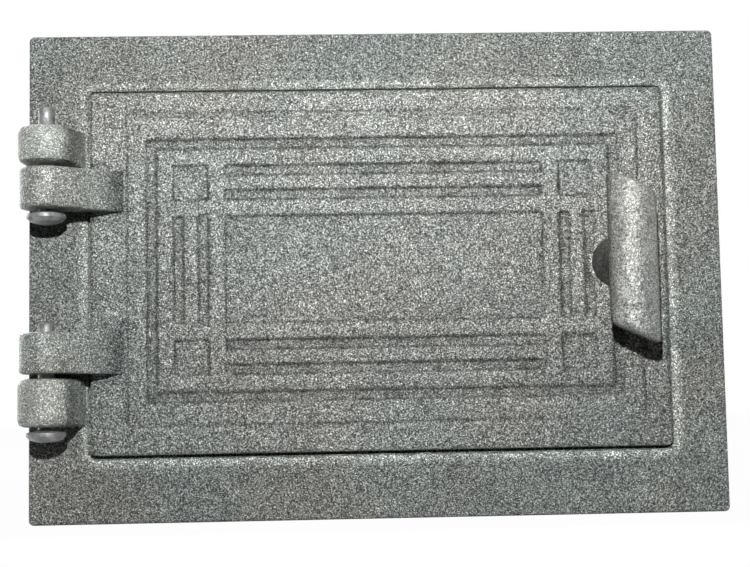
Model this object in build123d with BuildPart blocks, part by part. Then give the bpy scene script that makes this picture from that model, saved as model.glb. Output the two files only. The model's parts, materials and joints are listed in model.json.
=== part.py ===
from build123d import *
from math import cos, radians, sin
import os

# Cast-iron ash pit door: a flanged wall frame, a leaf with stepped relief on two hinges, and a turning latch.
# Millimetres. X runs across the door with the hinges at -X, Z is up and the front faces -Y.
# The origin is the centre of the flange on its back face, which lies against the wall.
# Depths are given as distances in front of that back face, so a depth d lies at Y = -d.

# Flange
flange_width = 270.0
flange_height = 190.0
flange_thickness = 6.0
flange_corner_radius = 2.0
flange_edge_round = 1.2

# Leaf, which sits a little to the hinge-free side and above the middle of the flange
side_border = 22.8
top_border = 24.5
leaf_thickness = 5.0
leaf_centre_x = 1.0
leaf_centre_z = 1.5
leaf_proud = 1.5
leaf_corner_radius = 2.3
leaf_edge_round = 0.9

# Recess, seat ledge, rolled lip and collar of the frame
leaf_gap = 1.2
seat_clearance = 0.3
ledge_width = 8.0
ledge_thickness = 5.0
clear_corner_radius = 4.0
lip_width = 4.0
lip_depth = 0.9
lip_roll_width = 1.1
lip_roll_depth = 2.1
edge_tolerance = 0.01
collar_wall = 4.0
collar_depth = 30.0
tie_hole_radius = 3.0
tie_hole_spacing = 90.0
tie_hole_edge = 11.0

# Hinges: heights are those of the lower end of each leaf knuckle above the flange's centre
hinge_inset = 9.0
hinge_stand_off = 11.3
frame_knuckle_radius = 10.6
leaf_knuckle_radius = 10.1
leaf_knuckle_length = 15.5
upper_leaf_knuckle_z = 25.0
lower_leaf_knuckle_z = -37.6
upper_frame_knuckle_length = 14.0
lower_frame_knuckle_length = 18.0
knuckle_gap = 1.9
knuckle_end_round = 2.6
knuckle_foot_inset = 0.5
arm_overlap = 12.8
arm_clearance = 0.9
arm_toe_height = 0.25
arm_end_round = 1.4

# Hinge pins
pin_radius = 3.0
pin_length = 40.3
pin_chamfer = 0.6
pin_head_radius = 7.4
pin_head_slope = 1.1
pin_head_rim = 2.5
pin_head_height = 4.7
pin_head_shoulder = (6.0, 3.9)
pin_head_crown_radius = 3.2
pin_head_gap = 1.0
press_clearance = 0.02
running_clearance = 0.06

# Relief of the leaf, measured inwards from the leaf's edges
relief_shift_x = 2.0
relief_shift_z = 0.5
border_width_x = 11.4
border_width_z = 9.7
line_width = 1.8
line_depth = 0.5
band_width_x = 10.4
band_width_z = 11.6
groove_width = 4.3
groove_depth = 1.0
first_bar_inset = 10.4
bar_pitch = 9.6
panel_inset = 8.2
panel_depth = 0.9
relief_draft = 25.0
relief_edge_bevel = 0.35

# Handle: half-round grip with slanted ends on a flared stem
handle_inset = 19.7
handle_z = 2.6
grip_width = 18.6
grip_height = 9.5
grip_length = 58.4
grip_end_slope = 24.3
grip_side_height = 3.0
grip_shift = 3.2
grip_corner_radius = 1.2
grip_end_round = 2.4
finger_room = 14.0
stem_base_radius = 9.8
stem_neck_radius = 4.8
stem_flare = 1.2
stem_sink = 3.0
stem_pad_margin = 1.5
shank_radius = 5.0
turning_clearance = 0.2

# Latch behind the leaf
latch_clearance = 0.5
boss_radius = 10.0
square_side = 7.6
square_clearance = 0.05
tongue_thickness = 5.0
tongue_hub_radius = 9.5
tongue_tip_radius = 4.5
tongue_tip_clearance = 1.3
tongue_chamfer = 0.8
washer_radius = 8.5
washer_thickness = 1.6
thread_radius = 3.8
nut_sides = 6
nut_across_flats = 13.0
nut_thickness = 6.5
nut_bevel_width = 1.6
nut_bevel_depth = 0.8
thread_end = 3.0
thread_clearance = 0.05

# Depths of the stacked faces
leaf_front = flange_thickness + leaf_proud
leaf_back = leaf_front - leaf_thickness
ledge_front = leaf_back - seat_clearance
ledge_back = ledge_front - ledge_thickness
tongue_front = ledge_back - latch_clearance
tongue_back = tongue_front - tongue_thickness
boss_back = tongue_front + turning_clearance
washer_back = tongue_back - washer_thickness
nut_back = washer_back - nut_thickness
stem_base = leaf_front + turning_clearance
grip_underside = leaf_front + finger_room

# Outlines that fit round one another
leaf_width = flange_width - 2 * side_border
leaf_height = flange_height - 2 * top_border
recess_width = leaf_width + 2 * leaf_gap
recess_height = leaf_height + 2 * leaf_gap
recess_corner_radius = leaf_corner_radius + leaf_gap
clear_width = recess_width - 2 * ledge_width
clear_height = recess_height - 2 * ledge_width
collar_width = recess_width + 2 * collar_wall
collar_height = recess_height + 2 * collar_wall
recess_left = leaf_centre_x - recess_width / 2
leaf_left = leaf_centre_x - leaf_width / 2
leaf_right = leaf_centre_x + leaf_width / 2
leaf_centre = (leaf_centre_x, leaf_centre_z)

# Hinge axis and the ends of the knuckles
hinge_x = -flange_width / 2 + hinge_inset
hinge_y = -(flange_thickness + hinge_stand_off)
hinge_axis = Axis((hinge_x, hinge_y, 0), (0, 0, 1))
upper_frame_knuckle_z = upper_leaf_knuckle_z + leaf_knuckle_length + knuckle_gap
lower_frame_knuckle_z = lower_leaf_knuckle_z - knuckle_gap - lower_frame_knuckle_length

# Latch axis
handle_x = leaf_right - handle_inset
latch_centre = (handle_x, handle_z)
tongue_reach = handle_inset + leaf_gap - tongue_tip_clearance


def at_depth(depth):
    """Plane parallel to the wall, at a distance in front of the flange's back face, facing forwards."""
    return Plane.XZ.offset(depth)


def edges_at_depth(builder, depth):
    """Edges of a part under construction that lie at one depth."""
    return builder.edges().filter_by_position(Axis.Y, -depth - edge_tolerance, -depth + edge_tolerance)


def round_steps(radius):
    """Distances from an end and insets there that bring a quarter round down to two flats."""
    shoulder = radius * (1 - sin(radians(45)))
    return ((0, radius), (shoulder, shoulder), (radius, 0))


def cast_plate(width, height, corner_radius, centre, back, front, edge_round):
    """Plate between two depths, with rounded corners and a rounded front edge."""
    levels = [(back, 0)]
    levels += [(front - drop, inset) for drop, inset in reversed(round_steps(edge_round))]
    with BuildPart() as plate:
        for depth, inset in levels:
            with BuildSketch(at_depth(depth)):
                with Locations(centre):
                    RectangleRounded(width - 2 * inset, height - 2 * inset, corner_radius - inset)
        loft(ruled=True)
    return plate.part


def hinge_barrel(bottom, length, radius, end_round, foot):
    """Barrel round the hinge axis, with flanks that run down to a foot line and rounded ends."""
    steps = round_steps(end_round)
    levels = [(bottom + rise, inset) for rise, inset in steps]
    levels += [(bottom + length - drop, inset) for drop, inset in reversed(steps)]
    with BuildPart() as barrel:
        for level, inset in levels:
            with BuildSketch(Plane.XY.offset(level)):
                with Locations((hinge_x, hinge_y)):
                    Circle(radius - inset)
                with BuildLine():
                    Line(*foot)
                make_hull()
        loft(ruled=True)
    return barrel.part


def frame_knuckle(bottom, length):
    """Barrel of the frame, with flanks down to the flange's edge and the recess."""
    foot_y = -flange_thickness / 2
    foot = ((knuckle_foot_inset - flange_width / 2, foot_y), (recess_left - knuckle_foot_inset, foot_y))
    return hinge_barrel(bottom, length, frame_knuckle_radius, knuckle_end_round, foot)


def leaf_arm(bottom):
    """Strap that rises from the leaf's face to the barrel round the hinge pin."""
    toe_x = leaf_left + arm_overlap
    foot = ((toe_x, -(flange_thickness + arm_clearance)), (toe_x, -(leaf_front + arm_toe_height)))
    return hinge_barrel(bottom, leaf_knuckle_length, leaf_knuckle_radius, arm_end_round, foot)


def hinge_pin(head_top):
    """Round pin with a domed head under its lower end and a bevelled upper end."""
    pin_plane = Plane((hinge_x, hinge_y, head_top), x_dir=(1, 0, 0), z_dir=(0, -1, 0))
    with BuildPart() as pin:
        with BuildSketch(pin_plane):
            with BuildLine():
                Polyline(
                    (0, -pin_head_height),
                    (0, pin_length),
                    (pin_radius - pin_chamfer, pin_length),
                    (pin_radius, pin_length - pin_chamfer),
                    (pin_radius, 0),
                    (pin_head_radius, -pin_head_slope),
                    (pin_head_radius, -pin_head_rim),
                    (pin_head_shoulder[0], -pin_head_shoulder[1]),
                    (pin_head_crown_radius, -pin_head_height),
                    close=True,
                )
            make_face()
        revolve(axis=hinge_axis)
    return pin.part


# Frame
with BuildPart() as frame:
    add(
        cast_plate(
            flange_width, flange_height, flange_corner_radius, (0, 0), 0, flange_thickness, flange_edge_round
        )
    )

    # Collar that goes into the wall
    with BuildSketch(at_depth(0)):
        with Locations(leaf_centre):
            RectangleRounded(collar_width, collar_height, recess_corner_radius + collar_wall)
    extrude(amount=-collar_depth)
    with BuildSketch(at_depth(-collar_depth)):
        with Locations(leaf_centre):
            RectangleRounded(recess_width, recess_height, recess_corner_radius)
    extrude(amount=collar_depth + ledge_back, mode=Mode.SUBTRACT)

    # Recess for the leaf, with the clear opening inside its ledge
    with BuildSketch(at_depth(flange_thickness)):
        with Locations(leaf_centre):
            RectangleRounded(recess_width, recess_height, recess_corner_radius)
    extrude(amount=ledge_front - flange_thickness, mode=Mode.SUBTRACT)
    with BuildSketch(at_depth(ledge_front)):
        with Locations(leaf_centre):
            RectangleRounded(clear_width, clear_height, clear_corner_radius)
    extrude(amount=-ledge_thickness, mode=Mode.SUBTRACT)

    # Lip that slopes and rolls from the flange into the recess
    for drop, margin in ((0, lip_width), (lip_depth, lip_roll_width), (lip_roll_depth, 0)):
        with BuildSketch(at_depth(flange_thickness - drop)):
            with Locations(leaf_centre):
                RectangleRounded(
                    recess_width + 2 * margin,
                    recess_height + 2 * margin,
                    recess_corner_radius + margin,
                )
    loft(ruled=True, mode=Mode.SUBTRACT)

    # Holes for tie wires in the collar's side walls
    with BuildSketch(Plane.YZ.offset(leaf_centre_x - collar_width / 2)):
        with Locations((collar_depth - tie_hole_edge, leaf_centre_z)):
            with GridLocations(0, tie_hole_spacing, 1, 2):
                Circle(tie_hole_radius)
    extrude(amount=collar_width, mode=Mode.SUBTRACT)

    add(frame_knuckle(upper_frame_knuckle_z, upper_frame_knuckle_length))
    add(frame_knuckle(lower_frame_knuckle_z, lower_frame_knuckle_length))
    with BuildSketch(Plane.XY.offset(-flange_height / 2)):
        with Locations((hinge_x, hinge_y)):
            Circle(pin_radius + press_clearance)
    extrude(amount=flange_height, mode=Mode.SUBTRACT)
frame.part.label = "frame"

# Leaf
relief_centre = (leaf_centre_x + relief_shift_x, leaf_centre_z + relief_shift_z)
line_half_x = leaf_width / 2 - border_width_x
line_half_z = leaf_height / 2 - border_width_z
groove_half_x = line_half_x - band_width_x
groove_half_z = line_half_z - band_width_z
outer_bar_x = groove_half_x - first_bar_inset
outer_bar_z = groove_half_z - first_bar_inset
inner_bar_x = outer_bar_x - bar_pitch
inner_bar_z = outer_bar_z - bar_pitch
panel_width = 2 * (inner_bar_x - panel_inset)
panel_height = 2 * (inner_bar_z - panel_inset)
square_x = (outer_bar_x + inner_bar_x) / 2
square_z = (outer_bar_z + inner_bar_z) / 2
corner_square = bar_pitch + groove_width

with BuildPart() as door_leaf:
    add(
        cast_plate(
            leaf_width, leaf_height, leaf_corner_radius, leaf_centre, leaf_back, leaf_front, leaf_edge_round
        )
    )

    # Thin line round the border
    with BuildSketch(at_depth(leaf_front)):
        with Locations(relief_centre):
            Rectangle(2 * line_half_x + line_width, 2 * line_half_z + line_width)
            Rectangle(2 * line_half_x - line_width, 2 * line_half_z - line_width, mode=Mode.SUBTRACT)
    extrude(amount=-line_depth, taper=relief_draft, mode=Mode.SUBTRACT)

    # Wide groove inside the band
    with BuildSketch(at_depth(leaf_front)):
        with Locations(relief_centre):
            Rectangle(2 * groove_half_x + groove_width, 2 * groove_half_z + groove_width)
            Rectangle(2 * groove_half_x - groove_width, 2 * groove_half_z - groove_width, mode=Mode.SUBTRACT)
    extrude(amount=-groove_depth, taper=relief_draft, mode=Mode.SUBTRACT)

    # Pairs of short grooves along each side of the centre panel
    with BuildSketch(at_depth(leaf_front)):
        with Locations(relief_centre):
            with GridLocations(0, 2 * outer_bar_z, 1, 2):
                Rectangle(panel_width, groove_width)
            with GridLocations(0, 2 * inner_bar_z, 1, 2):
                Rectangle(panel_width, groove_width)
            with GridLocations(2 * outer_bar_x, 0, 2, 1):
                Rectangle(groove_width, panel_height)
            with GridLocations(2 * inner_bar_x, 0, 2, 1):
                Rectangle(groove_width, panel_height)
    extrude(amount=-groove_depth, taper=relief_draft, mode=Mode.SUBTRACT)

    # Sunk centre panel and corner squares
    with BuildSketch(at_depth(leaf_front)):
        with Locations(relief_centre):
            Rectangle(panel_width, panel_height)
            with GridLocations(2 * square_x, 2 * square_z, 2, 2):
                Rectangle(corner_square, corner_square)
    extrude(amount=-panel_depth, taper=relief_draft, mode=Mode.SUBTRACT)

    # Edges of the relief are soft, as cast
    reach_x = line_half_x + line_width
    reach_z = line_half_z + line_width
    relief_edges = edges_at_depth(door_leaf, leaf_front)
    relief_edges = relief_edges.filter_by_position(Axis.X, relief_centre[0] - reach_x, relief_centre[0] + reach_x)
    relief_edges = relief_edges.filter_by_position(Axis.Z, relief_centre[1] - reach_z, relief_centre[1] + reach_z)
    chamfer(relief_edges, relief_edge_bevel)

    # Pad under the handle and boss behind it
    with BuildSketch(at_depth(boss_back)):
        with Locations(latch_centre):
            Circle(boss_radius)
    extrude(amount=leaf_back - boss_back)
    with BuildSketch(at_depth(leaf_back)):
        with Locations(latch_centre):
            Circle(stem_base_radius + stem_pad_margin)
    extrude(amount=leaf_thickness)
    with BuildSketch(at_depth(leaf_front)):
        with Locations(latch_centre):
            Circle(shank_radius + running_clearance)
    extrude(amount=boss_back - leaf_front, mode=Mode.SUBTRACT)

    add(leaf_arm(upper_leaf_knuckle_z))
    add(leaf_arm(lower_leaf_knuckle_z))
    with BuildSketch(Plane.XY.offset(-leaf_height / 2)):
        with Locations((hinge_x, hinge_y)):
            Circle(pin_radius + running_clearance)
    extrude(amount=leaf_height, mode=Mode.SUBTRACT)
door_leaf.part.label = "door_leaf"

# Hinge pins, pressed into the frame's barrels from below
upper_hinge_pin = hinge_pin(upper_leaf_knuckle_z - pin_head_gap)
upper_hinge_pin.label = "upper_hinge_pin"
lower_hinge_pin = hinge_pin(lower_frame_knuckle_z - pin_head_gap)
lower_hinge_pin.label = "lower_hinge_pin"

# Handle
grip_x = handle_x + grip_shift
half_length = grip_length / 2
stem_plane = Plane((handle_x, 0, handle_z), x_dir=(1, 0, 0), z_dir=(0, 0, 1))
latch_axis = Axis((handle_x, 0, handle_z), (0, 1, 0))


def grip_section(height, inset):
    """Half-round section of the grip in a slanted plane, at a height above the latch axis and set in all round."""
    slope = radians(grip_end_slope)
    section_plane = Plane(
        (grip_x, -grip_underside, handle_z + height),
        x_dir=(cos(slope), 0, -sin(slope)),
        z_dir=(sin(slope), 0, cos(slope)),
    )
    half_width = grip_width / 2 / cos(slope) - inset
    underside = inset / 2
    side = underside + grip_side_height
    with BuildSketch(section_plane) as section:
        with BuildLine():
            Polyline((-half_width, -side), (-half_width, -underside), (half_width, -underside), (half_width, -side))
            ThreePointArc((-half_width, -side), (0, inset - grip_height), (half_width, -side))
        make_face()
        fillet(section.vertices().group_by(Axis.Y)[-1], grip_corner_radius)
    return section.sketch


with BuildPart() as handle:
    # Grip: half-round sections parallel to its slanted ends, drawn in towards each end
    end_steps = round_steps(grip_end_round)
    upper_sections = [grip_section(half_length - drop, inset) for drop, inset in end_steps]
    lower_sections = [grip_section(rise - half_length, inset) for rise, inset in reversed(end_steps)]
    loft(upper_sections + lower_sections, ruled=True)

    # Flared stem and round shank
    with BuildSketch(stem_plane):
        with BuildLine():
            Polyline(
                (stem_neck_radius, -grip_underside),
                (stem_neck_radius, -(grip_underside + stem_sink)),
                (0, -(grip_underside + stem_sink)),
                (0, -tongue_front),
                (shank_radius, -tongue_front),
                (shank_radius, -stem_base),
                (stem_base_radius, -stem_base),
                (stem_base_radius, -(stem_base + stem_flare)),
            )
            Line((stem_base_radius, -(stem_base + stem_flare)), (stem_neck_radius, -grip_underside))
        make_face()
    revolve(axis=latch_axis)

    # Square seat for the tongue and the threaded end
    with BuildSketch(at_depth(tongue_back)):
        with Locations(latch_centre):
            Rectangle(square_side, square_side)
    extrude(amount=tongue_thickness)
    with BuildSketch(at_depth(nut_back - thread_end)):
        with Locations(latch_centre):
            Circle(thread_radius)
    extrude(amount=thread_end + nut_thickness + washer_thickness)
handle.part.label = "handle"

# Tongue, which hangs down at rest and turns behind the frame's ledge
with BuildPart() as latch_tongue:
    with BuildSketch(at_depth(tongue_back)):
        with Locations(latch_centre):
            Circle(tongue_hub_radius)
        with Locations((handle_x, handle_z - tongue_reach + tongue_tip_radius)):
            Circle(tongue_tip_radius)
        make_hull()
        with Locations(latch_centre):
            Rectangle(
                square_side + 2 * square_clearance,
                square_side + 2 * square_clearance,
                mode=Mode.SUBTRACT,
            )
    extrude(amount=tongue_thickness)
    front_rim = latch_tongue.faces().sort_by(Axis.Y)[0].outer_wire().edges()
    chamfer(front_rim, tongue_chamfer)
latch_tongue.part.label = "latch_tongue"

with BuildPart() as latch_washer:
    with BuildSketch(at_depth(washer_back)):
        with Locations(latch_centre):
            Circle(washer_radius)
            Circle(thread_radius + thread_clearance, mode=Mode.SUBTRACT)
    extrude(amount=washer_thickness)
latch_washer.part.label = "latch_washer"

nut_corner_radius = nut_across_flats / 2 / cos(radians(180 / nut_sides))
with BuildPart() as latch_nut:
    with BuildSketch(at_depth(nut_back)):
        with Locations(latch_centre):
            RegularPolygon(nut_corner_radius, nut_sides)
            Circle(thread_radius + thread_clearance, mode=Mode.SUBTRACT)
    extrude(amount=nut_thickness)
    with BuildSketch(stem_plane):
        with BuildLine():
            Polyline(
                (0, -washer_back),
                (nut_corner_radius, -washer_back),
                (nut_corner_radius, -(nut_back + nut_bevel_depth)),
                (nut_corner_radius - nut_bevel_width, -nut_back),
                (0, -nut_back),
                close=True,
            )
        make_face()
    revolve(axis=latch_axis, mode=Mode.INTERSECT)
latch_nut.part.label = "latch_nut"

os.makedirs("parts", exist_ok=True)
export_step(frame.part, "parts/frame.step")
export_step(door_leaf.part, "parts/door_leaf.step")
export_step(upper_hinge_pin, "parts/upper_hinge_pin.step")
export_step(lower_hinge_pin, "parts/lower_hinge_pin.step")
export_step(handle.part, "parts/handle.step")
export_step(latch_tongue.part, "parts/latch_tongue.step")
export_step(latch_washer.part, "parts/latch_washer.step")
export_step(latch_nut.part, "parts/latch_nut.step")
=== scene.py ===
"""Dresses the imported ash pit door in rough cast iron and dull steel, and sets up the studio."""

import json
import logging
import math
from dataclasses import dataclass, field
from enum import Enum
from typing import Any, Optional, Sequence

import bmesh
import bpy
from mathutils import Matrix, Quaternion, Vector

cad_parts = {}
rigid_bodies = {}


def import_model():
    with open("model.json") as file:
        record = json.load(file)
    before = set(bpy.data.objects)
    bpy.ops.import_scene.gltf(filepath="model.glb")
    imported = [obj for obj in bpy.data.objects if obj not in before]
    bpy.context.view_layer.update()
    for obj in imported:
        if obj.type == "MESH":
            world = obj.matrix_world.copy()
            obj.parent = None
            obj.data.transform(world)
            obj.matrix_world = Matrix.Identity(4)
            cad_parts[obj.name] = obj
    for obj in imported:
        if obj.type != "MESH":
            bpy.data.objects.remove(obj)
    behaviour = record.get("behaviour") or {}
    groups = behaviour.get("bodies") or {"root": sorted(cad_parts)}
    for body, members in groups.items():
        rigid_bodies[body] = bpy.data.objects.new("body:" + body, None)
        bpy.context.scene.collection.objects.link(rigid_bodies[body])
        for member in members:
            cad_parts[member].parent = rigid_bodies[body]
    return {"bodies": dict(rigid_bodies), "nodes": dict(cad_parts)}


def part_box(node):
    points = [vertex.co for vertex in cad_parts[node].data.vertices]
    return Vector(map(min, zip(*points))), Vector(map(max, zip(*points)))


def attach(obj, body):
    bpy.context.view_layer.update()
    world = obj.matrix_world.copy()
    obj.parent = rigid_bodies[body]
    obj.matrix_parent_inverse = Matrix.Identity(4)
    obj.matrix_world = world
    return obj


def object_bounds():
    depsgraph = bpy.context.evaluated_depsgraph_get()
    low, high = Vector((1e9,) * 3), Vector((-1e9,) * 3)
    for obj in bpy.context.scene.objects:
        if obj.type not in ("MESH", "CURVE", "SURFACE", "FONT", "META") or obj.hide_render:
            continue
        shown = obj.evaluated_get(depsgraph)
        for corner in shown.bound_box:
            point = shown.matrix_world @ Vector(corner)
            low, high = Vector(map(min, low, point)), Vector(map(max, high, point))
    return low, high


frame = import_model()
cad_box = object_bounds()

log = logging.getLogger("ash_pit_door")

Colour = tuple[float, float, float]
MM = 0.001
WHITE: Colour = (1.0, 1.0, 1.0)


class GrainCut(Enum):
    """Cells of the casting skin per metre, by how coarse the moulding sand was."""

    COARSE = 3300.0
    MEDIUM = 2800.0
    FINE = 3700.0


class DrawnAlong(Enum):
    """Axis that a steel piece was drawn or turned along, as the stretch of its streaks."""

    UPRIGHT = (1.0, 1.0, 0.05)
    THROUGH = (1.0, 0.05, 1.0)


class Facing(Enum):
    """Direction that a zone of a casting is measured along."""

    ROOM = (0.0, -1.0, 0.0)
    TOP = (0.0, 0.0, 1.0)
    ROOM_AND_HINGES = (-0.6, -0.8, 0.0)


@dataclass(frozen=True)
class Mottle:
    """Cloudy patches, and the spans that their values are mapped from and to.

    Attributes:
        scale: Patches per metre, or their share of another scale.
        detail: Octaves added.
        roughness: How strong the finer octaves are.
        start: Value that becomes the low one.
        end: Value that becomes the high one.
        low: Lowest value given out.
        high: Highest value given out.
    """

    scale: float
    detail: float
    roughness: float
    start: float = 0.0
    end: float = 1.0
    low: float = 0.0
    high: float = 1.0


class Graph:
    """Places and joins the nodes of one tree."""

    def __init__(self, tree: bpy.types.NodeTree) -> None:
        """Starts with an empty tree.

        Args:
            tree: The tree to build in.
        """
        self.tree = tree
        tree.nodes.clear()

    def add(
        self, kind: str, inputs: Optional[dict[Any, Any]] = None, **settings: Any
    ) -> bpy.types.Node:
        """Places one node.

        Args:
            kind: Type name of the node.
            inputs: Values or sockets for its inputs, by name or place.
            settings: Properties of the node.

        Returns:
            The new node.
        """
        node = self.tree.nodes.new(kind)
        for key, value in settings.items():
            setattr(node, key, value)
        for key, value in (inputs or {}).items():
            self.feed(node.inputs[key], value)
        return node

    def feed(self, socket: bpy.types.NodeSocket, value: Any) -> None:
        """Joins a socket to an input, or sets the input's own value.

        Args:
            socket: The input.
            value: A socket, a number or a colour.
        """
        if isinstance(value, bpy.types.NodeSocket):
            self.tree.links.new(value, socket)
        elif isinstance(value, tuple) and len(value) == 3 and socket.type == "RGBA":
            socket.default_value = (*value, 1.0)
        else:
            socket.default_value = value

    def group(self, tree: bpy.types.NodeTree, inputs: dict[str, Any]) -> Any:
        """Places a shared node group.

        Args:
            tree: The group.
            inputs: Values or sockets for its inputs, by name.

        Returns:
            The group's outputs.
        """
        return self.add("ShaderNodeGroup", inputs, node_tree=tree).outputs

    def calc(self, operation: str, *values: Any) -> bpy.types.NodeSocket:
        """Works out a number.

        Args:
            operation: Name of the sum.
            values: Its numbers or sockets.

        Returns:
            The result's socket.
        """
        return self.add("ShaderNodeMath", dict(enumerate(values)), operation=operation).outputs[0]

    def vector(self, operation: str, *values: Any) -> bpy.types.NodeSocket:
        """Works out a vector from vectors.

        Args:
            operation: Name of the sum.
            values: Its vectors or sockets.

        Returns:
            The result's socket.
        """
        node = self.add("ShaderNodeVectorMath", dict(enumerate(values)), operation=operation)
        return node.outputs["Vector"]

    def measure(self, operation: str, *values: Any) -> bpy.types.NodeSocket:
        """Works out a number from vectors.

        Args:
            operation: Name of the sum.
            values: Its vectors or sockets.

        Returns:
            The result's socket.
        """
        node = self.add("ShaderNodeVectorMath", dict(enumerate(values)), operation=operation)
        return node.outputs["Value"]

    def scaled(self, colour: Any, level: Any) -> bpy.types.NodeSocket:
        """Makes a colour lighter or darker.

        Args:
            colour: The colour.
            level: What it is multiplied by.

        Returns:
            The result's socket.
        """
        node = self.add("ShaderNodeVectorMath", {0: colour, "Scale": level}, operation="SCALE")
        return node.outputs["Vector"]

    def span(
        self, value: Any, start: Any, end: Any, low: Any = 0.0, high: Any = 1.0
    ) -> bpy.types.NodeSocket:
        """Maps a number smoothly from one span to another and holds it there.

        Args:
            value: The number.
            start: Where the first span starts.
            end: Where the first span ends.
            low: Where the second span starts.
            high: Where the second span ends.

        Returns:
            The mapped number's socket.
        """
        node = self.add(
            "ShaderNodeMapRange",
            {0: value, 1: start, 2: end, 3: low, 4: high},
            interpolation_type="SMOOTHSTEP",
        )
        return node.outputs[0]

    def blend(self, share: Any, first: Any, second: Any) -> bpy.types.NodeSocket:
        """Mixes two colours.

        Args:
            share: How much of the second one shows.
            first: The colour below.
            second: The colour above.

        Returns:
            The mixed colour's socket.
        """
        node = self.add(
            "ShaderNodeMix", {0: share, 6: first, 7: second}, data_type="RGBA", clamp_factor=True
        )
        return node.outputs[2]

    def noise(self, place: Any, mottle: Mottle, scale: Any = None) -> bpy.types.NodeSocket:
        """Places the plain noise of some patches.

        Args:
            place: Coordinates that it reads.
            mottle: The patches.
            scale: Patches per metre, where the mottle's own scale is only a share.

        Returns:
            The noise's value socket.
        """
        inputs = {
            "Vector": place,
            "Scale": mottle.scale if scale is None else scale,
            "Detail": mottle.detail,
            "Roughness": mottle.roughness,
        }
        return self.add("ShaderNodeTexNoise", inputs).outputs[0]

    def mottled(self, place: Any, mottle: Mottle, scale: Any = None) -> bpy.types.NodeSocket:
        """Places patches, with their values mapped.

        Args:
            place: Coordinates that they read.
            mottle: The patches.
            scale: Patches per metre, where the mottle's own scale is only a share.

        Returns:
            The mapped value's socket.
        """
        noise = self.noise(place, mottle, scale)
        return self.span(noise, mottle.start, mottle.end, mottle.low, mottle.high)

    def bump(self, height: Any, distance: float, normal: Any) -> bpy.types.NodeSocket:
        """Tilts a normal by a height.

        Args:
            height: The height's socket.
            distance: Depth of the relief in metres.
            normal: The normal below.

        Returns:
            The tilted normal's socket.
        """
        inputs = {"Height": height, "Distance": distance, "Strength": 1.0, "Normal": normal}
        return self.add("ShaderNodeBump", inputs).outputs[0]


@dataclass(frozen=True)
class EffectNumbers:
    """Numbers that the shared effects are built from.

    Attributes:
        dust_scale: How much finer the dust between the cells is.
        cell_tone, dust_tone, broad_tone: Shares of the grain's tone.
        broad: Unevenness over several cells, with its scale as a share of theirs.
        dome_height, cell_height, dust_height: Shares of the grain's height.
        speck_edge, speck_core: Distances in a cell where its painted glint starts and is full.
        bevel_samples: Rays that soften an edge.
        wear_starts, wear_full: Turns of the softened normal where wear starts and is full.
        wear_patches: Where along an edge it is worn.
        rim_outer, rim_inner: How sharply the lip's painted highlight stops at the opening.
        hollow_reach: How wide a hollow may be.
        hollow_samples: Rays that look out of a hollow.
        hollow_starts, hollow_full: Open shares of the sky where sooty dirt and painted shade start
            and are full.
        tint_drift: Where the iron looks cool and where warm.
        clouds, cloud_strength: Light and dark clouds, and how strong they are.
    """

    dust_scale: float = 1.4
    cell_tone: float = 0.46
    dust_tone: float = 0.46
    broad_tone: float = 0.08
    broad: Mottle = Mottle(0.25, 2.0, 0.6, 0.35, 0.65)
    dome_height: float = -0.5
    cell_height: float = 0.6
    dust_height: float = 0.3
    speck_edge: float = 0.6
    speck_core: float = 0.3
    bevel_samples: int = 6
    wear_starts: float = 0.004
    wear_full: float = 0.1
    wear_patches: Mottle = Mottle(420.0, 3.0, 0.6, 0.35, 0.6, 0.25, 1.0)
    rim_outer: float = 0.2 * MM
    rim_inner: float = 0.1 * MM
    hollow_reach: float = 6.0 * MM
    hollow_samples: int = 8
    hollow_starts: float = 0.96
    hollow_full: float = 0.86
    tint_drift: Mottle = Mottle(16.0, 2.0, 0.5, 0.35, 0.65)
    clouds: Mottle = Mottle(80.0, 4.0, 0.65, 0.3, 0.7, -1.0, 1.0)
    cloud_strength: float = 0.15


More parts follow.
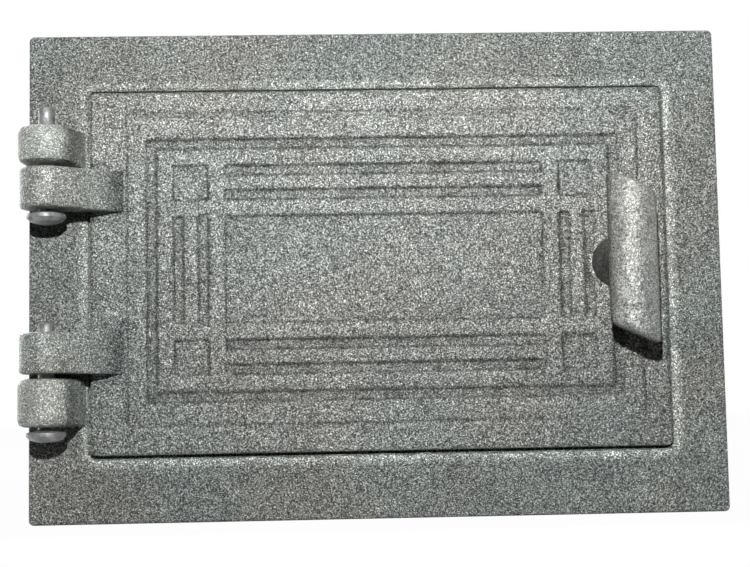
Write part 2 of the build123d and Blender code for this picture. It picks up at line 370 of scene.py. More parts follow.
class EffectGroups:
    """Node groups that the finishes share, each built once."""

    def __init__(self) -> None:
        """Builds every group."""
        self.numbers = EffectNumbers()
        self.grain = self._grain()
        self.edge = self._edge()
        self.band = self._band()
        self.rim = self._rim()
        self.cavity = self._cavity()
        self.patches = self._patches()

    @staticmethod
    def _new(
        name: str, inputs: dict[str, Any], outputs: dict[str, str]
    ) -> tuple[Graph, Any, Any]:
        """Starts a group with its sockets.

        Args:
            name: Name of the group.
            inputs: Default value of each input by name; None makes a vector.
            outputs: Kind of each output by name, such as Float.

        Returns:
            The group's graph, its inputs and its outputs.
        """
        tree = bpy.data.node_groups.new(name, "ShaderNodeTree")
        for key, value in inputs.items():
            if value is None:
                tree.interface.new_socket(key, in_out="INPUT", socket_type="NodeSocketVector")
            elif isinstance(value, tuple):
                socket = tree.interface.new_socket(
                    key, in_out="INPUT", socket_type="NodeSocketColor"
                )
                socket.default_value = (*value, 1.0)
            else:
                socket = tree.interface.new_socket(
                    key, in_out="INPUT", socket_type="NodeSocketFloat"
                )
                socket.default_value = value
        for key, kind in outputs.items():
            tree.interface.new_socket(key, in_out="OUTPUT", socket_type=f"NodeSocket{kind}")
        graph = Graph(tree)
        return graph, graph.add("NodeGroupInput").outputs, graph.add("NodeGroupOutput").inputs

    def _grain(self) -> bpy.types.NodeTree:
        """Skin that moulding sand leaves: cells of many tones, fine pits and bright specks painted
        in as glints.

        Returns:
            The group.
        """
        graph, given, result = self._new(
            "cast_grain",
            {"Vector": None, "Scale": GrainCut.COARSE.value, "Speck Share": 0.1},
            {"Tone": "Float", "Speck": "Float", "Height": "Float"},
        )
        numbers = self.numbers
        place = given["Vector"]
        cells = graph.add("ShaderNodeTexVoronoi", {"Vector": place, "Scale": given["Scale"]})
        lot = graph.add("ShaderNodeSeparateColor", {0: cells.outputs["Color"]}).outputs
        dust_scale = graph.calc("MULTIPLY", given["Scale"], numbers.dust_scale)
        dust = graph.add("ShaderNodeTexVoronoi", {"Vector": place, "Scale": dust_scale})
        dust_lot = graph.add("ShaderNodeSeparateColor", {0: dust.outputs["Color"]}).outputs
        broad_scale = graph.calc("MULTIPLY", given["Scale"], numbers.broad.scale)
        broad = graph.mottled(place, numbers.broad, broad_scale)
        tone = graph.calc("MULTIPLY", dust_lot[0], numbers.dust_tone)
        tone = graph.calc("MULTIPLY_ADD", lot[0], numbers.cell_tone, tone)
        tone = graph.calc("MULTIPLY_ADD", broad, numbers.broad_tone, tone)
        # Bright specks, painted into the colour later as glints.
        chosen = graph.span(lot[1], graph.calc("SUBTRACT", 1.0, given["Speck Share"]), 1.0)
        core = graph.span(cells.outputs["Distance"], numbers.speck_edge, numbers.speck_core)
        height = graph.calc("MULTIPLY", lot[2], numbers.cell_height)
        height = graph.calc("MULTIPLY_ADD", cells.outputs["Distance"], numbers.dome_height, height)
        height = graph.calc("MULTIPLY_ADD", dust_lot[2], numbers.dust_height, height)
        graph.feed(result["Tone"], tone)
        graph.feed(result["Speck"], graph.calc("MULTIPLY", chosen, core))
        graph.feed(result["Height"], height)
        return graph.tree

    def _edge(self) -> bpy.types.NodeTree:
        """Softened normal of cast edges, with a mask of where they rub bright.

        Returns:
            The group.
        """
        graph, given, result = self._new(
            "edge_wear",
            {"Vector": None, "Radius": 0.8 * MM},
            {"Wear": "Float", "Normal": "Vector"},
        )
        numbers = self.numbers
        soft = graph.add(
            "ShaderNodeBevel", {"Radius": given["Radius"]}, samples=numbers.bevel_samples
        ).outputs[0]
        plain = graph.add("ShaderNodeNewGeometry").outputs["Normal"]
        turn = graph.calc("SUBTRACT", 1.0, graph.measure("DOT_PRODUCT", soft, plain))
        away = graph.span(turn, numbers.wear_starts, numbers.wear_full)
        patchy = graph.mottled(given["Vector"], numbers.wear_patches)
        graph.feed(result["Wear"], graph.calc("MULTIPLY", away, patchy))
        graph.feed(result["Normal"], soft)
        return graph.tree

    def _band(self) -> bpy.types.NodeTree:
        """Mask that rises between two distances along a direction.

        Returns:
            The group.
        """
        graph, given, result = self._new(
            "distance_band",
            {"Vector": None, "Along": None, "Start": 0.0, "Full": MM},
            {"Mask": "Float"},
        )
        way = graph.measure("DOT_PRODUCT", given["Vector"], given["Along"])
        graph.feed(result["Mask"], graph.span(way, given["Start"], given["Full"]))
        return graph.tree

    def _rim(self) -> bpy.types.NodeTree:
        """Mask of the lip's painted highlight: it rises towards the edge of a rounded opening and
        stops at it.

        Returns:
            The group.
        """
        graph, given, result = self._new(
            "opening_rim",
            {"Vector": None, "Centre": None, "Inner": None, "Corner": 3.0 * MM, "Width": 4.0 * MM},
            {"Mask": "Float"},
        )
        outer, inner = self.numbers.rim_outer, self.numbers.rim_inner
        away = graph.vector("SUBTRACT", given["Vector"], given["Centre"])
        beyond = graph.vector("SUBTRACT", graph.vector("ABSOLUTE", away), given["Inner"])
        outside = graph.measure("LENGTH", graph.vector("MAXIMUM", beyond, (0.0, 0.0, 0.0)))
        side = graph.add("ShaderNodeSeparateXYZ", {0: beyond}).outputs
        inside = graph.calc("MINIMUM", graph.calc("MAXIMUM", side["X"], side["Z"]), 0.0)
        distance = graph.calc("SUBTRACT", graph.calc("ADD", outside, inside), given["Corner"])
        rise = graph.span(distance, given["Width"], outer)
        graph.feed(
            result["Mask"], graph.calc("MULTIPLY", rise, graph.span(distance, -outer, inner))
        )
        return graph.tree

    def _cavity(self) -> bpy.types.NodeTree:
        """Mask of narrow hollows from ambient occlusion, where painted shade goes and sooty dirt
        and moulding sand stay.

        Returns:
            The group.
        """
        graph, _, result = self._new("cavity_sooty_shade", {}, {"Mask": "Float"})
        numbers = self.numbers
        # Ambient occlusion finds the hollows for painted shade and sooty dirt.
        open_sky = graph.add(
            "ShaderNodeAmbientOcclusion",
            {"Distance": numbers.hollow_reach},
            samples=numbers.hollow_samples,
            only_local=True,
        ).outputs["AO"]
        hidden = graph.span(open_sky, numbers.hollow_starts, numbers.hollow_full)
        graph.feed(result["Mask"], hidden)
        return graph.tree

    def _patches(self) -> bpy.types.NodeTree:
        """Slow drift between a cool and a warm tone, with cloudy light and dark areas.

        Returns:
            The group.
        """
        graph, given, result = self._new(
            "tone_patches",
            {"Vector": None, "Cool": (0.2, 0.2, 0.2), "Warm": (0.2, 0.2, 0.2)},
            {"Colour": "Color"},
        )
        drift = graph.mottled(given["Vector"], self.numbers.tint_drift)
        tint = graph.blend(drift, given["Cool"], given["Warm"])
        clouds = graph.mottled(given["Vector"], self.numbers.clouds)
        level = graph.calc("MULTIPLY_ADD", clouds, self.numbers.cloud_strength, 1.0)
        graph.feed(result["Colour"], graph.scaled(tint, level))
        return graph.tree


@dataclass(frozen=True)
class Zone:
    """Part of a casting whose skin differs, from one distance along a direction to another.

    Attributes:
        start: Distance where the change starts.
        full: Distance where it is full, which may be the smaller one.
        brightness: What the skin's tone is multiplied by, as painted light or shade.
        relief: What the grain's height is multiplied by.
        roughness: What is added to the roughness.
        metal: What is added to the metallic share.
        evenness: How far the grain's tones close up.
        along: Direction of the distances.
    """

    start: float
    full: float
    brightness: float
    relief: float = 1.0
    roughness: float = 0.0
    metal: float = 0.0
    evenness: float = 0.0
    along: Facing = Facing.ROOM


@dataclass(frozen=True)
class LipHighlight:
    """Rounded opening whose lip gets a painted highlight, here more and there less.

    Attributes:
        centre: Middle of the opening, across and up.
        half: Half its width and height.
        corner: Radius of its corners.
        width: How far the rubbing reaches outward.
        brightness: What the skin's tone is multiplied by where the painted highlight is strongest.
        highlight_patches: Where the painted highlight lies.
    """

    centre: tuple[float, float]
    half: tuple[float, float]
    corner: float
    width: float
    brightness: float
    highlight_patches: Mottle = Mottle(90.0, 3.0, 0.6, 0.35, 0.6, 0.55, 1.0)


@dataclass
class Skin:
    """What a casting's skin is made of, while its finish is worked out."""

    level: Any
    height: Any
    roughness: Any
    metallic: Any


@dataclass(frozen=True)
class IronFinish:
    """Raw cast iron with a sandy skin and painted glints, sooty dirt and painted shade in its
    hollows, brighter where it rubs, with painted light and shade in its zones and on the lip.

    Attributes:
        name: Name of the material.
        cool, warm: The two tones that the iron drifts between.
        grain: How coarse the skin is.
        grain_relief: Height of the grain.
        grain_contrast, grain_gain, grain_floor: Power, gain and least level of the tones.
        grain_polish: How much smoother the lightest grains are than the darkest.
        even_curve: Tone, before the gain, that an even skin has.
        painted_glint, painted_glint_share: Colour of the bright specks painted in as glints, and
            the share of cells that have one.
        wear_strength: How much brighter worn edges are.
        sooty_shade_strength, sooty_shade_cover: How dark the hollows are from sooty dirt and
            painted shade, and where it lies.
        edge_radius: Softness of the cast edges.
        metallic, roughness, specular: Values of the surface.
        lump_height, lumps: Soft unevenness of the cast surface.
        zones: Parts of the casting whose skin differs, with painted light or shade in them.
        rim: Opening whose lip gets a painted highlight, if there is one.
    """

    name: str
    cool: Colour
    warm: Colour
    grain: GrainCut = GrainCut.COARSE
    grain_relief: float = 0.13 * MM
    grain_contrast: float = 4.2
    grain_gain: float = 0.438
    grain_floor: float = 0.12
    grain_polish: float = 0.16
    even_curve: float = 1.9
    # Near-white specks painted in as glints.
    painted_glint: Colour = (0.9, 0.91, 0.89)
    painted_glint_share: float = 0.22
    wear_strength: float = 0.3
    sooty_shade_strength: float = 0.42
    sooty_shade_cover: Mottle = Mottle(130.0, 4.0, 0.65, 0.4, 0.62, 0.05, 1.3)
    edge_radius: float = 0.9 * MM
    metallic: float = 0.1
    roughness: float = 0.42
    specular: float = 0.4
    lump_height: float = 0.4 * MM
    lumps: Mottle = Mottle(120.0, 3.0, 0.5)
    zones: Sequence[Zone] = ()
    rim: Optional[LipHighlight] = None

    def build(self, effects: EffectGroups) -> bpy.types.Material:
        """Makes the material.

        Args:
            effects: The shared node groups.

        Returns:
            The material.
        """
        material = bpy.data.materials.new(self.name)
        material.use_nodes = True
        graph = Graph(material.node_tree)
        place = graph.add("ShaderNodeTexCoord").outputs["Object"]
        grain = graph.group(
            effects.grain,
            {"Vector": place, "Scale": self.grain.value, "Speck Share": self.painted_glint_share},
        )
        edge = graph.group(effects.edge, {"Vector": place, "Radius": self.edge_radius})
        patches = graph.group(
            effects.patches, {"Vector": place, "Cool": self.cool, "Warm": self.warm}
        )
        skin = self._sandy_skin(graph, grain)
        # Each zone paints light or shade into the skin's tone.
        for zone in self.zones:
            self._change_in_zone(graph, skin, zone, place, effects)
        wear = graph.calc("MULTIPLY_ADD", edge["Wear"], self.wear_strength, 1.0)
        skin.level = graph.calc("MULTIPLY", skin.level, wear)
        # Painted highlight on the lip of the opening.
        if self.rim:
            self._paint_lip_highlight(graph, skin, self.rim, place, effects)
        # Hollows darken with painted shade, partly sooty dirt, in patches.
        hollows = graph.group(effects.cavity, {})["Mask"]
        cover = graph.calc("MULTIPLY", hollows, graph.mottled(place, self.sooty_shade_cover))
        sooty_shade = graph.calc("MULTIPLY_ADD", cover, -self.sooty_shade_strength, 1.0)
        skin.level = graph.calc("MULTIPLY", skin.level, sooty_shade)
        tint = graph.scaled(patches["Colour"], skin.level)
        rolled = graph.bump(graph.noise(place, self.lumps), self.lump_height, edge["Normal"])
        surface = graph.add(
            "ShaderNodeBsdfPrincipled",
            {
                # Bright specks painted into the colour stand in for glints.
                "Base Color": graph.blend(grain["Speck"], tint, self.painted_glint),
                "Roughness": skin.roughness,
                "Metallic": skin.metallic,
                "Specular IOR Level": self.specular,
                "Normal": graph.bump(skin.height, self.grain_relief, rolled),
            },
        )
        graph.add("ShaderNodeOutputMaterial", {"Surface": surface.outputs[0]})
        return material

    def _sandy_skin(self, graph: Graph, grain: Any) -> Skin:
        """Turns the grain's tones into a skin that is the same in every zone.

        Args:
            graph: The material's graph.
            grain: Outputs of the grain group.

        Returns:
            The skin.
        """
        twice = graph.calc("MULTIPLY", grain["Tone"], 2.0)
        curve = graph.calc("POWER", twice, self.grain_contrast)
        dull = self.roughness + self.grain_polish / 2.0
        return Skin(
            level=graph.calc("MULTIPLY_ADD", curve, self.grain_gain, self.grain_floor),
            height=grain["Height"],
            roughness=graph.calc("MULTIPLY_ADD", grain["Tone"], -self.grain_polish, dull),
            metallic=self.metallic,
        )

    def _change_in_zone(
        self, graph: Graph, skin: Skin, zone: Zone, place: Any, effects: EffectGroups
    ) -> None:
        """Changes the skin inside one zone.

        Args:
            graph: The material's graph.
            skin: The skin.
            zone: The zone.
            place: Coordinates of the piece.
            effects: The shared node groups.
        """
        mask = graph.group(
            effects.band,
            {"Vector": place, "Along": zone.along.value, "Start": zone.start, "Full": zone.full},
        )["Mask"]
        if zone.evenness:
            even_level = self.grain_gain * self.even_curve + self.grain_floor
            shortfall = graph.calc("SUBTRACT", even_level, skin.level)
            share = graph.calc("MULTIPLY", mask, zone.evenness)
            skin.level = graph.calc("MULTIPLY_ADD", shortfall, share, skin.level)
        # The zone's painted light or shade.
        lighter = graph.span(mask, 0.0, 1.0, 1.0, zone.brightness)
        skin.level = graph.calc("MULTIPLY", skin.level, lighter)
        if zone.relief != 1.0:
            flatter = graph.span(mask, 0.0, 1.0, 1.0, zone.relief)
            skin.height = graph.calc("MULTIPLY", skin.height, flatter)
        if zone.roughness:
            duller = graph.span(mask, 0.0, 1.0, 0.0, zone.roughness)
            skin.roughness = graph.calc("ADD", skin.roughness, duller)
        if zone.metal:
            skin.metallic = graph.calc("MULTIPLY_ADD", mask, zone.metal, skin.metallic)

    def _paint_lip_highlight(
        self, graph: Graph, skin: Skin, rim: LipHighlight, place: Any, effects: EffectGroups
    ) -> None:
        """Paints a highlight onto the lip of an opening.

        Args:
            graph: The material's graph.
            skin: The skin.
            rim: The opening.
            place: Coordinates of the piece.
            effects: The shared node groups.
        """
        given = {
            "Vector": place,
            "Centre": (rim.centre[0], 0.0, rim.centre[1]),
            "Inner": (rim.half[0] - rim.corner, 1.0, rim.half[1] - rim.corner),
            "Corner": rim.corner,
            "Width": rim.width,
        }
        mask = graph.group(effects.rim, given)["Mask"]
        # Patches of the lip's painted highlight.
        lit_share = graph.calc("MULTIPLY", mask, graph.mottled(place, rim.highlight_patches))
        lighter = graph.calc("MULTIPLY_ADD", lit_share, rim.brightness - 1.0, 1.0)
        skin.level = graph.calc("MULTIPLY", skin.level, lighter)


@dataclass(frozen=True)
class SteelFinish:
    """Plain steel with streaks along the way it was drawn, dulled by handling and damp.

    Attributes:
        name: Name of the material.
        colour: Colour of the bare steel.
        stain: Colour of the dull stains.
        along: Axis of the streaks.
        metallic, roughness: Values of the bare steel.
        stain_roughness: What a stain adds to the roughness.
        stain_share: How much a stain covers.
        stains: Where the stains are.
        streaks, streak_relief: The streaks and their depth.
        wear_strength: How much brighter worn edges are.
        edge_radius: Softness of the edges.
    """

    name: str
    colour: Colour
    stain: Colour
    along: DrawnAlong
    metallic: float = 0.9
    roughness: float = 0.34
    stain_roughness: float = 0.2
    stain_share: float = 0.6
    stains: Mottle = Mottle(330.0, 4.0, 0.6, 0.42, 0.62)
    streaks: Mottle = Mottle(2600.0, 3.0, 0.6, 0.3, 0.7, 0.82, 1.15)
    streak_relief: float = 0.04 * MM
    wear_strength: float = 0.2
    edge_radius: float = 0.4 * MM

    def build(self, effects: EffectGroups) -> bpy.types.Material:
        """Makes the material.

        Args:
            effects: The shared node groups.

        Returns:
            The material.
        """
        material = bpy.data.materials.new(self.name)
        material.use_nodes = True
        graph = Graph(material.node_tree)
        place = graph.add("ShaderNodeTexCoord").outputs["Object"]
        stretched = graph.add(
            "ShaderNodeMapping", {"Vector": place, "Scale": self.along.value}
        ).outputs[0]
        streak = graph.noise(stretched, self.streaks)
        stain = graph.mottled(place, self.stains)
        edge = graph.group(effects.edge, {"Vector": place, "Radius": self.edge_radius})
        wear = graph.calc("MULTIPLY_ADD", edge["Wear"], self.wear_strength, 1.0)
        level = graph.calc("MULTIPLY", graph.mottled(stretched, self.streaks), wear)
        stained = graph.calc("MULTIPLY", stain, self.stain_share)
        dull = self.roughness + self.stain_roughness
        surface = graph.add(
            "ShaderNodeBsdfPrincipled",
            {
                "Base Color": graph.blend(stained, graph.scaled(self.colour, level), self.stain),
                "Roughness": graph.span(stain, 0.0, 1.0, self.roughness, dull),
                "Metallic": self.metallic,
                "Normal": graph.bump(streak, self.streak_relief, edge["Normal"]),
            },
        )
        graph.add("ShaderNodeOutputMaterial", {"Surface": surface.outputs[0]})
        return material


def dress(node: str, material: bpy.types.Material) -> None:
    """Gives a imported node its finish.

    Args:
        node: Name of the node.
        material: The finish.
    """
    mesh = frame["nodes"][node].data
    if not mesh.materials:
        mesh.materials.append(material)
    for place in range(len(mesh.materials)):
        mesh.materials[place] = material
    log.info("%s dressed in %s", node, material.name)


def finish_piece(
    name: str, shape: bmesh.types.BMesh, material: bpy.types.Material, body: str
) -> bpy.types.Object:
    """Turns a finished shape into a piece that rides on its body.

    Args:
        name: Name of the piece.
        shape: Its shape, in place.
        material: Its finish.
        body: Body that it moves with.

    Returns:
        The piece.
    """
    bmesh.ops.recalc_face_normals(shape, faces=shape.faces)
    mesh = bpy.data.meshes.new(name)
    shape.to_mesh(mesh)
    shape.free()
    mesh.materials.append(material)
    for face in mesh.polygons:
        face.use_smooth = True
    piece = bpy.data.objects.new(name, mesh)
    bpy.context.scene.collection.objects.link(piece)
    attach(piece, body)
    log.info("%s built with %d faces", name, len(mesh.polygons))
    return piece


@dataclass
class WallFrame:
    """Flanged casting that is built into the wall.

    The barrels' zone of painted light is measured aslant, out of the wall and over to the hinges,
    so that the roots which join them to the flange get none and stay dark.
    """

    effects: EffectGroups
    barrel_start: float = 86.0 * MM
    barrel_full: float = 94.0 * MM
    opening_centre: tuple[float, float] = (1.0 * MM, 1.2 * MM)
    opening_half: tuple[float, float] = (113.4 * MM, 72.0 * MM)
    opening_corner: float = 3.5 * MM
    lip_width: float = 4.3 * MM
    lip_brightness: float = 2.4

    def build(self) -> None:
        """Dresses the frame: painted light and a smoother skin on its proud barrels, a painted
        highlight on its lip.
        """
        # Painted light on the proud barrels, whose skin is also smoother and more metallic.
        barrels = Zone(
            self.barrel_start,
            self.barrel_full,
            brightness=2.3,
            relief=0.8,
            roughness=-0.12,
            metal=0.15,
            evenness=0.35,
            along=Facing.ROOM_AND_HINGES,
        )
        # Painted highlight on the lip round the opening.
        lip = LipHighlight(
            self.opening_centre,
            self.opening_half,
            self.opening_corner,
            self.lip_width,
            self.lip_brightness,
        )
        finish = IronFinish(
            "frame_iron_skin",
            cool=(0.190, 0.214, 0.202),
            warm=(0.211, 0.217, 0.198),
            wear_strength=0.5,
            sooty_shade_strength=0.12,
            metallic=0.0,
            roughness=0.6,
            specular=0.15,
            zones=(barrels,),
            rim=lip,
        )
        dress("frame", finish.build(self.effects))


@dataclass
class DoorLeaf:
    """Leaf with the stepped relief and its two strap arms; depths are measured from the wall."""

    effects: EffectGroups
    groove_top: float = 7.35 * MM
    groove_floor: float = 6.6 * MM
    back_start: float = 3.5 * MM
    back_full: float = 2.7 * MM
    arm_start: float = 8.5 * MM
    arm_full: float = 16.0 * MM
    half_height: float = 70.0 * MM

    def build(self) -> None:
        """Dresses the leaf: painted shade, partly dirt, on each groove floor, painted shade at its
        back, painted light on its arms and towards its top.
        """
        # Groove floors darker: painted shade, partly dirt.
        grooves = Zone(self.groove_top, self.groove_floor, brightness=0.84)
        # Painted shade on the leaf's back, near the wall.
        back = Zone(self.back_start, self.back_full, brightness=0.85)
        # Painted light on the arms, whose skin is also smoother and less metallic.
        arms = Zone(
            self.arm_start,
            self.arm_full,
            brightness=1.85,
            relief=0.8,
            roughness=0.04,
            metal=-0.2,
            evenness=0.25,
        )
        # Painted light: the leaf lighter towards its top.
        upper = Zone(-self.half_height, self.half_height, brightness=1.12, along=Facing.TOP)
        finish = IronFinish(
            "leaf_iron_skin",
            cool=(0.199, 0.222, 0.209),
            warm=(0.217, 0.222, 0.201),
            metallic=0.44,
            roughness=0.4,
            sooty_shade_strength=0.45,
            grain_contrast=5.4,
            grain_gain=0.264,
            grain_relief=0.15 * MM,
            painted_glint_share=0.34,
            edge_radius=1.9 * MM,
            zones=(grooves, back, arms, upper),
        )
        dress("door_leaf", finish.build(self.effects))


@dataclass
class HingePins:
    """Drawn steel pins of the two hinges."""

    effects: EffectGroups
    names: tuple[str, str] = ("upper_hinge_pin", "lower_hinge_pin")

    def build(self) -> None:
        """Dresses both pins."""
        finish = SteelFinish(
            "pin_steel_skin",
            colour=(0.42, 0.43, 0.43),
            stain=(0.19, 0.19, 0.183),
            along=DrawnAlong.UPRIGHT,
            metallic=0.6,
            roughness=0.5,
        ).build(self.effects)
        for name in self.names:
            dress(name, finish)


@dataclass
class GripHandle:
    """Turning handle: smooth stem below a hand-worn grip, with painted shade on the stem and a
    painted highlight on the crown; depths are measured from the wall.
    """

    effects: EffectGroups
    stem_top: float = 21.5 * MM
    stem_full: float = 20.5 * MM
    crown_start: float = 22.5 * MM
    crown_full: float = 29.0 * MM

    def build(self) -> None:
        """Dresses the handle: smooth stem in painted shade, sandy grip, crown with a painted
        highlight.
        """
        # Painted shade on the stem, which is also smoother.
        stem = Zone(
            self.stem_top, self.stem_full, brightness=0.6, relief=0.1, roughness=-0.06
        )
        # Painted highlight on the grip's crown.
        crown = Zone(
            self.crown_start, self.crown_full, brightness=2.4, relief=0.9, roughness=0.05
        )
        finish = IronFinish(
            "handle_iron_skin",
            cool=(0.172, 0.184, 0.174),
            warm=(0.186, 0.188, 0.176),
            metallic=0.5,
            grain=GrainCut.MEDIUM,
            grain_relief=0.12 * MM,
            grain_contrast=1.9,
            grain_gain=0.703,
            painted_glint_share=0.1,
            roughness=0.5,
            lump_height=1.5 * MM,
            lumps=Mottle(190.0, 3.0, 0.5),
            zones=(stem, crown),
        )
        dress("handle", finish.build(self.effects))


@dataclass
class LatchFittings:
    """Tongue, washer and nut behind the leaf, with the shank's thread."""

    effects: EffectGroups
    thread_radius: float = 3.8 * MM
    thread_pitch: float = 1.25 * MM
    thread_rise: float = 0.12 * MM
    thread_sunk: float = 0.05 * MM
    half_foot: float = 0.5 * MM
    steps_a_turn: int = 36

    def build(self) -> None:
        """Dresses the fittings and cuts the thread on the shank's bare end."""
        tongue = IronFinish(
            "tongue_iron_skin",
            cool=(0.17, 0.18, 0.172),
            warm=(0.19, 0.188, 0.175),
            grain=GrainCut.FINE,
            grain_relief=0.14 * MM,
        ).build(self.effects)
        steel = SteelFinish(
            "latch_steel_skin",
            colour=(0.42, 0.42, 0.43),
            stain=(0.2, 0.19, 0.18),
            along=DrawnAlong.THROUGH,
        ).build(self.effects)
        dress("latch_tongue", tongue)
        dress("latch_washer", steel)
        dress("latch_nut", steel)
        self.build_thread(steel)

    def build_thread(self, steel: bpy.types.Material) -> bpy.types.Object:
        """Winds the thread's ridge round the shank's end, behind the nut.

        Args:
            steel: Finish of the ridge.

        Returns:
            The ridge.
        """
        low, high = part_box("latch_nut")
        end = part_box("handle")[1].y
        centre = (low + high) / 2
        root = self.thread_radius - self.thread_sunk
        crest = self.thread_radius + self.thread_rise
        start = high.y + self.half_foot
        turns = (end - self.half_foot - start) / self.thread_pitch
        steps = max(3, round(turns * self.steps_a_turn))
        shape = bmesh.new()
        corners = [(root, start - self.half_foot), (crest, start), (root, start + self.half_foot)]
        points = [shape.verts.new((centre.x + out, along, centre.z)) for out, along in corners]
        shape.faces.new(points)
        bmesh.ops.spin(
            shape,
            geom=shape.verts[:] + shape.edges[:] + shape.faces[:],
            cent=(centre.x, 0.0, centre.z),
            axis=(0.0, 1.0, 0.0),
            dvec=(0.0, turns * self.thread_pitch / steps, 0.0),
            angle=turns * 2.0 * math.pi,
            steps=steps,
        )
        return finish_piece("shank_thread", shape, steel, "latch")


def seen_rays(graph: Graph) -> bpy.types.NodeSocket:
    """Tells the rays that look at the floor from those that light the object.

    Args:
        graph: The tree that asks.

    Returns:
        A socket that is 1 for camera, glossy and transmission rays.
    """
    path = graph.add("ShaderNodeLightPath").outputs
    seen = graph.calc("MAXIMUM", path["Is Camera Ray"], path["Is Glossy Ray"])
    return graph.calc("MAXIMUM", seen, path["Is Transmission Ray"])


@dataclass
class StudioFloor:
    """Pale floor that shows white to the camera and keeps the object's soft shadow."""

    radius: float = 2.5
    front: float = 0.06
    drop: float = 0.2 * MM
    sides: int = 96
    paint: Colour = (0.4, 0.4, 0.4)
    plain_share: float = 0.98

    def build(self) -> bpy.types.Object:
        """Lays the floor under the object.

        Returns:
            The floor.
        """
        shape = bmesh.new()
        bmesh.ops.create_circle(shape, cap_ends=True, segments=self.sides, radius=self.radius)
        bmesh.ops.translate(
            shape, verts=shape.verts, vec=(0.0, self.radius - self.front, cad_box[0][2] - self.drop)
        )
        mesh = bpy.data.meshes.new("studio_floor")
        shape.to_mesh(mesh)
        shape.free()
        mesh.materials.append(self.finish())
        floor = bpy.data.objects.new("studio_floor", mesh)
        bpy.context.scene.collection.objects.link(floor)
        return floor

    def finish(self) -> bpy.types.Material:
        """Makes the floor's paint.

        Returns:
            The material.
        """
        material = bpy.data.materials.new("studio_floor_paint")
        material.use_nodes = True
        graph = Graph(material.node_tree)
        share = graph.calc("MULTIPLY", seen_rays(graph), self.plain_share)
        matt = graph.add("ShaderNodeBsdfDiffuse", {"Color": self.paint}).outputs[0]
        white = graph.add("ShaderNodeEmission", {"Color": WHITE, "Strength": 1.0}).outputs[0]
        mixed = graph.add("ShaderNodeMixShader", {0: share, 1: matt, 2: white}).outputs[0]
        graph.add("ShaderNodeOutputMaterial", {"Surface": mixed})
        return material


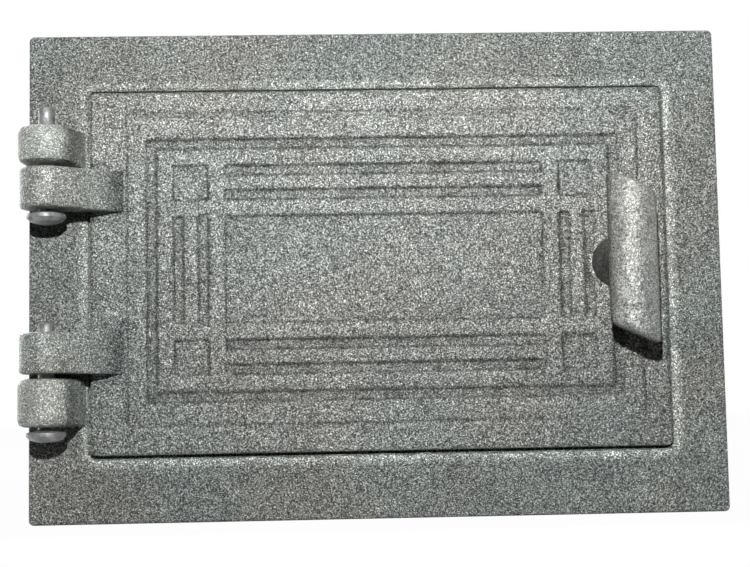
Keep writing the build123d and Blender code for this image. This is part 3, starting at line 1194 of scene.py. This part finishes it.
@dataclass
class Studio:
    """White surroundings, one small key lamp above the camera, a weak fill and lamps behind."""

    ambient: float = 0.02
    mirror_start: float = -0.2
    mirror_full: float = 0.3
    key_place: Sequence[float] = (-0.035, -0.575, 0.173)
    key_aim: Sequence[float] = (0.05, 0.0, 0.22)
    key_size: float = 0.022
    key_spread: float = 120.0
    key_power: float = 2.28
    soft_size: float = 0.9
    fill_place: Sequence[float] = (0.75, -0.9, 0.45)
    fill_power: float = 0.06
    back_place: Sequence[float] = (-0.5, 1.1, 0.8)
    back_power: float = 11.0
    side_places: Sequence[Sequence[float]] = ((-0.85, 0.85, 0.02), (0.85, 0.9, 0.02))
    side_power: float = 8.0
    floor: StudioFloor = field(default_factory=StudioFloor)

    def build(self) -> None:
        """Sets up the surroundings, the lamps and the floor."""
        self.surround()
        key = self.lamp("key_lamp", self.key_place, self.key_size, self.key_power, self.key_aim)
        key.data.spread = math.radians(self.key_spread)
        self.lamp("fill_lamp", self.fill_place, self.soft_size, self.fill_power)
        self.lamp("back_lamp", self.back_place, self.soft_size, self.back_power)
        for number, place in enumerate(self.side_places):
            self.lamp(f"side_lamp_{number}", place, self.soft_size, self.side_power)
        self.floor.build()

    def surround(self) -> None:
        """Makes the surroundings: white to look at, nearly dark as a light."""
        world = bpy.data.worlds.new("studio_world")
        bpy.context.scene.world = world
        world.use_nodes = True
        graph = Graph(world.node_tree)
        ahead = graph.add("ShaderNodeTexCoord").outputs["Generated"]
        depth = graph.add("ShaderNodeSeparateXYZ", {0: ahead}).outputs["Y"]
        backdrop = graph.span(depth, self.mirror_start, self.mirror_full)
        path = graph.add("ShaderNodeLightPath").outputs
        straight = graph.calc("MAXIMUM", path["Is Camera Ray"], path["Is Transmission Ray"])
        mirrored = graph.calc("MULTIPLY", path["Is Glossy Ray"], backdrop)
        white = graph.calc("MAXIMUM", straight, mirrored)
        strength = graph.calc("MULTIPLY_ADD", white, 1.0 - self.ambient, self.ambient)
        sky = graph.add("ShaderNodeBackground", {"Color": WHITE, "Strength": strength}).outputs[0]
        graph.add("ShaderNodeOutputWorld", {"Surface": sky})

    def lamp(
        self,
        name: str,
        place: Sequence[float],
        size: float,
        power: float,
        aim: Sequence[float] = (0.0, 0.0, 0.0),
    ) -> bpy.types.Object:
        """Hangs a round lamp that faces the object.

        Args:
            name: Name of the lamp.
            place: Where it hangs.
            size: Its width.
            power: Its power in watts.
            aim: The point that it faces.

        Returns:
            The lamp.
        """
        light = bpy.data.lights.new(name, "AREA")
        light.shape = "DISK"
        light.size = size
        light.energy = power
        lamp = bpy.data.objects.new(name, light)
        lamp.location = place
        lamp.rotation_euler = (Vector(aim) - Vector(place)).to_track_quat("-Z", "Y").to_euler()
        bpy.context.scene.collection.objects.link(lamp)
        return lamp


@dataclass
class PhotoCamera:
    """Camera at the photograph's angle, a little below the door and left of its middle."""

    place: Sequence[float] = (-0.01978, -0.56796, -0.05309)
    target: Sequence[float] = (-0.00112, -0.006, -0.00432)
    roll: float = -1.0746
    lens: float = 69.6

    def build(self) -> bpy.types.Object:
        """Sets the camera up.

        Returns:
            The camera.
        """
        data = bpy.data.cameras.new("photo_camera")
        data.lens = self.lens
        camera = bpy.data.objects.new("photo_camera", data)
        camera.location = self.place
        ahead = Vector(self.target) - Vector(self.place)
        tilt = Quaternion((0.0, 0.0, 1.0), math.radians(self.roll))
        camera.rotation_euler = (ahead.to_track_quat("-Z", "Y") @ tilt).to_euler()
        bpy.context.scene.collection.objects.link(camera)
        bpy.context.scene.camera = camera
        return camera


def clear_leftovers() -> None:
    """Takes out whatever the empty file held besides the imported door."""
    kept = set(frame["nodes"].values()) | set(frame["bodies"].values())
    for thing in list(bpy.data.objects):
        if thing not in kept:
            bpy.data.objects.remove(thing)


def main() -> None:
    """Builds and dresses the door, then the studio round it."""
    logging.basicConfig(level=logging.INFO, format="%(name)s: %(message)s")
    clear_leftovers()
    bpy.context.scene.view_settings.view_transform = "Standard"
    effects = EffectGroups()
    for assembly in (WallFrame, DoorLeaf, HingePins, GripHandle, LatchFittings):
        assembly(effects).build()
    Studio().build()
    PhotoCamera().build()


if __name__ == "__main__":
    main()
